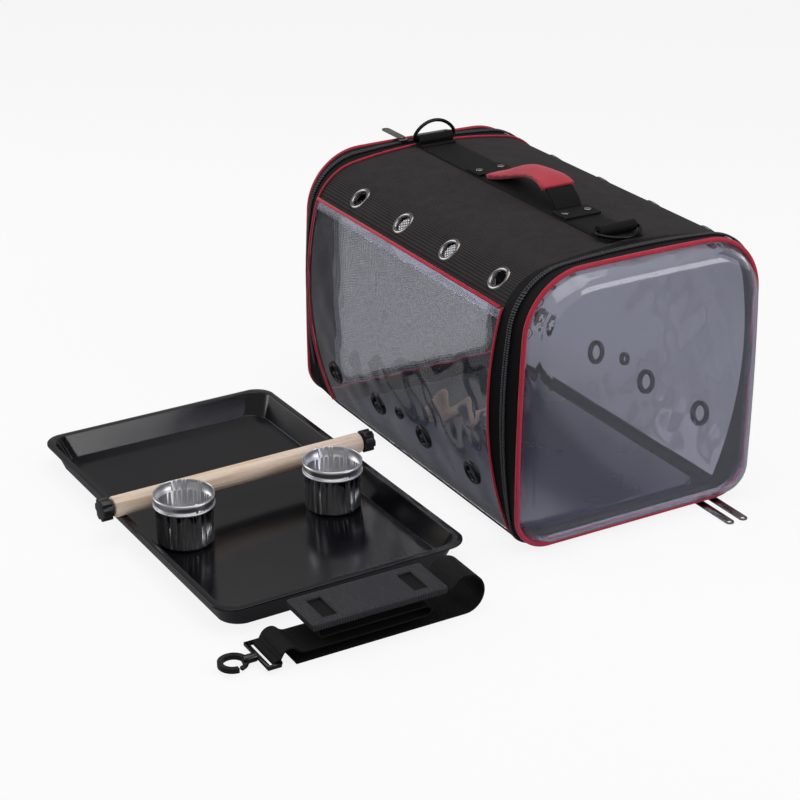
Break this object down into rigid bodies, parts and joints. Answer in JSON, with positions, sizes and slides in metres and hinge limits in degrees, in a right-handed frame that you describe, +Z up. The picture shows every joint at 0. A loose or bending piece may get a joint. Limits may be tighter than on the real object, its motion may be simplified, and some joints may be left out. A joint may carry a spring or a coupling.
{
  "type": "bird travel carrier",
  "caption": "Soft-sided bird carrier with clear front door, rear mesh door, top handle, drip tray, perch, cups and shoulder strap.",
  "frame": {"origin": "middle of the cabin base, at table level", "axes": "+X along the cabin to the clear front door, +Z up, +Y away from the tray"},
  "size_m": [0.475, 0.5696, 0.2914],
  "materials": {
    "roof_fabric": "coarse woven polyester",
    "black_fabric": "woven polyester",
    "stiffener_board": "polyethylene board",
    "clear_pvc": "soft clear sheet",
    "clear_shell": "clear moulded sheet",
    "bright_nickel": "nickel plated",
    "dark_nickel": "black nickel plated",
    "red_piping": "red cord piping",
    "zip_nylon": "nylon coil",
    "grey_mesh": "woven mesh",
    "black_webbing": "polyester webbing",
    "black_metal": "black plated wire",
    "red_fabric": "red woven fabric",
    "tray_plastic": "satin",
    "stainless": "brushed",
    "beech": "bare sanded",
    "zinc_steel": "zinc plated",
    "knob_plastic": "moulded",
    "pad_rubber": "ribbed",
    "hook_plastic": "black"
  },
  "bodies": {
    "cabin": {"barrel_piping_front": "red_piping", "barrel_piping_rear": "red_piping", "eave_piping": "red_piping", "floor_board": "stiffener_board", "floor_panel": "black_fabric", "front_band": "black_fabric", "front_ring_loop": "black_webbing", "front_zip_coil": "zip_nylon", "handle_rivets": "bright_nickel", "handle_tabs": "black_webbing", "handle_webbing": "black_webbing", "perch_eyelet_left": "dark_nickel", "perch_eyelet_right": "dark_nickel", "rear_band": "black_fabric", "rear_ring_loop": "black_webbing", "rear_zip_coil": "zip_nylon", "roof_board": "stiffener_board", "roof_grommets": "bright_nickel", "roof_panel": "roof_fabric", "roof_strap": "black_webbing", "side_grommets_left": "dark_nickel", "side_grommets_right": "dark_nickel", "side_window_left": "clear_pvc", "side_window_right": "clear_pvc"},
    "front_door": {"front_cover_shell": "clear_shell", "front_door_band": "black_fabric", "front_door_piping": "red_piping", "front_door_zip_coil": "zip_nylon"},
    "rear_door": {"rear_door_band": "black_fabric", "rear_door_mesh": "grey_mesh", "rear_door_panel": "black_fabric", "rear_door_piping": "red_piping", "rear_door_zip_coil": "zip_nylon"},
    "rear_d_ring": {"rear_d_ring": "black_metal"},
    "front_d_ring": {"front_d_ring": "black_metal"},
    "handle": {"handle_grip": "red_fabric"},
    "rear_slider_a": {"rear_slider_a": "bright_nickel"},
    "rear_slider_b": {"rear_slider_b": "bright_nickel"},
    "rear_pull_a": {"rear_pull_a": "bright_nickel"},
    "rear_pull_b": {"rear_pull_b": "bright_nickel"},
    "front_slider_a": {"front_slider_a": "bright_nickel"},
    "front_slider_b": {"front_slider_b": "bright_nickel"},
    "front_pull_a": {"front_pull_a": "bright_nickel"},
    "front_pull_b": {"front_pull_b": "bright_nickel"},
    "tray": {"tray": "tray_plastic"},
    "cup_a": {"cup_a": "stainless"},
    "cup_b": {"cup_b": "stainless"},
    "perch": {"perch_dowel": "beech"},
    "knob_a": {"perch_knob_a": "knob_plastic", "perch_stud_a": "zinc_steel"},
    "knob_b": {"perch_knob_b": "knob_plastic", "perch_stud_b": "zinc_steel"},
    "shoulder_strap": {"shoulder_pad": "pad_rubber", "strap_webbing": "black_webbing"},
    "hook_eye": {"hook_eye": "hook_plastic"},
    "hook_body": {"hook_body": "hook_plastic"},
    "hook_gate": {"hook_gate": "hook_plastic"}
  },
  "joints": [
    {"name": "front_door_hinge", "type": "hinge", "parent": "cabin", "child": "front_door", "pos_m": [0.179, 0.1324, 0.13], "axis": [0, 0, 1], "range_deg": [0, 95]},
    {"name": "rear_door_hinge", "type": "hinge", "parent": "cabin", "child": "rear_door", "pos_m": [-0.179, 0, 0.005], "axis": [0, -1, 0], "range_deg": [0, 80]},
    {"name": "front_slider_a_travel", "type": "slide", "parent": "cabin", "child": "front_slider_a", "axis": [0, -1, 0], "range_m": [0, 0.15]},
    {"name": "front_slider_b_travel", "type": "slide", "parent": "cabin", "child": "front_slider_b", "axis": [0, -1, 0], "range_m": [0, 0.0055]},
    {"name": "front_pull_a_swing", "type": "hinge", "parent": "front_slider_a", "child": "front_pull_a", "pos_m": [0.1842, 0.078, 0.00076], "axis": [0, 1, 0], "range_deg": [0, 70]},
    {"name": "front_pull_b_swing", "type": "hinge", "parent": "front_slider_b", "child": "front_pull_b", "pos_m": [0.1842, 0.093, 0.00076], "axis": [0, 1, 0], "range_deg": [0, 70]},
    {"name": "rear_slider_a_travel", "type": "slide", "parent": "cabin", "child": "rear_slider_a", "axis": [0, -1, 0], "range_m": [0, 0.03]},
    {"name": "rear_slider_b_travel", "type": "slide", "parent": "cabin", "child": "rear_slider_b", "axis": [0, 1, 0], "range_m": [0, 0.03]},
    {"name": "rear_pull_a_swing", "type": "hinge", "parent": "rear_slider_a", "child": "rear_pull_a", "pos_m": [-0.179, -0.024, 0.26555], "axis": [0, 1, 0], "range_deg": [0, 100]},
    {"name": "rear_pull_b_swing", "type": "hinge", "parent": "rear_slider_b", "child": "rear_pull_b", "pos_m": [-0.179, -0.008, 0.26555], "axis": [1, 0, 0], "range_deg": [0, 100]},
    {"name": "rear_d_ring_swing", "type": "hinge", "parent": "cabin", "child": "rear_d_ring", "pos_m": [-0.159, 0, 0.2676], "axis": [0, 1, 0], "range_deg": [-85, 85]},
    {"name": "front_d_ring_swing", "type": "hinge", "parent": "cabin", "child": "front_d_ring", "pos_m": [0.147, 0, 0.2676], "axis": [0, -1, 0], "range_deg": [0, 170]},
    {"name": "handle_flatten", "type": "slide", "parent": "cabin", "child": "handle", "axis": [0, 0, -1], "range_m": [0, 0.005], "stiffness_N_per_m": 300, "springref_m": -0.001, "deforming": ["handle_webbing"]},
    {"name": "tray_lift", "type": "slide", "parent": "cabin", "child": "tray", "axis": [0, 0, 1], "range_m": [0, 0.1]},
    {"name": "cup_a_lift", "type": "slide", "parent": "tray", "child": "cup_a", "axis": [0, 0, 1], "range_m": [0, 0.06]},
    {"name": "cup_b_lift", "type": "slide", "parent": "tray", "child": "cup_b", "axis": [0, 0, 1], "range_m": [0, 0.06]},
    {"name": "perch_lift", "type": "slide", "parent": "tray", "child": "perch", "axis": [0, 0, 1], "range_m": [0, 0.06]},
    {"name": "knob_a_turn", "type": "hinge", "parent": "perch", "child": "knob_a", "pos_m": [-0.016, -0.289, 0.0326], "axis": [0.0314, -0.9995, 0], "continuous": true},
    {"name": "knob_b_turn", "type": "hinge", "parent": "perch", "child": "knob_b", "pos_m": [-0.016, -0.289, 0.0326], "axis": [-0.0314, 0.9995, 0], "continuous": true},
    {"name": "strap_lift", "type": "slide", "parent": "cabin", "child": "shoulder_strap", "axis": [0, 0, 1], "range_m": [0, 0.1]},
    {"name": "hook_eye_swing", "type": "hinge", "parent": "shoulder_strap", "child": "hook_eye", "pos_m": [0.234, -0.386, 0.0054], "axis": [-1, 0, 0], "range_deg": [0, 60]},
    {"name": "hook_swivel", "type": "hinge", "parent": "hook_eye", "child": "hook_body", "pos_m": [0.234, -0.398, 0.0054], "axis": [0, 1, 0], "continuous": true},
    {"name": "hook_gate_press", "type": "hinge", "parent": "hook_body", "child": "hook_gate", "pos_m": [0.24008, -0.4077, 0.0054], "axis": [0, 0, -1], "range_deg": [0, 22], "stiffness_Nm_per_rad": 0.02, "springref_deg": -17.19}
  ]
}
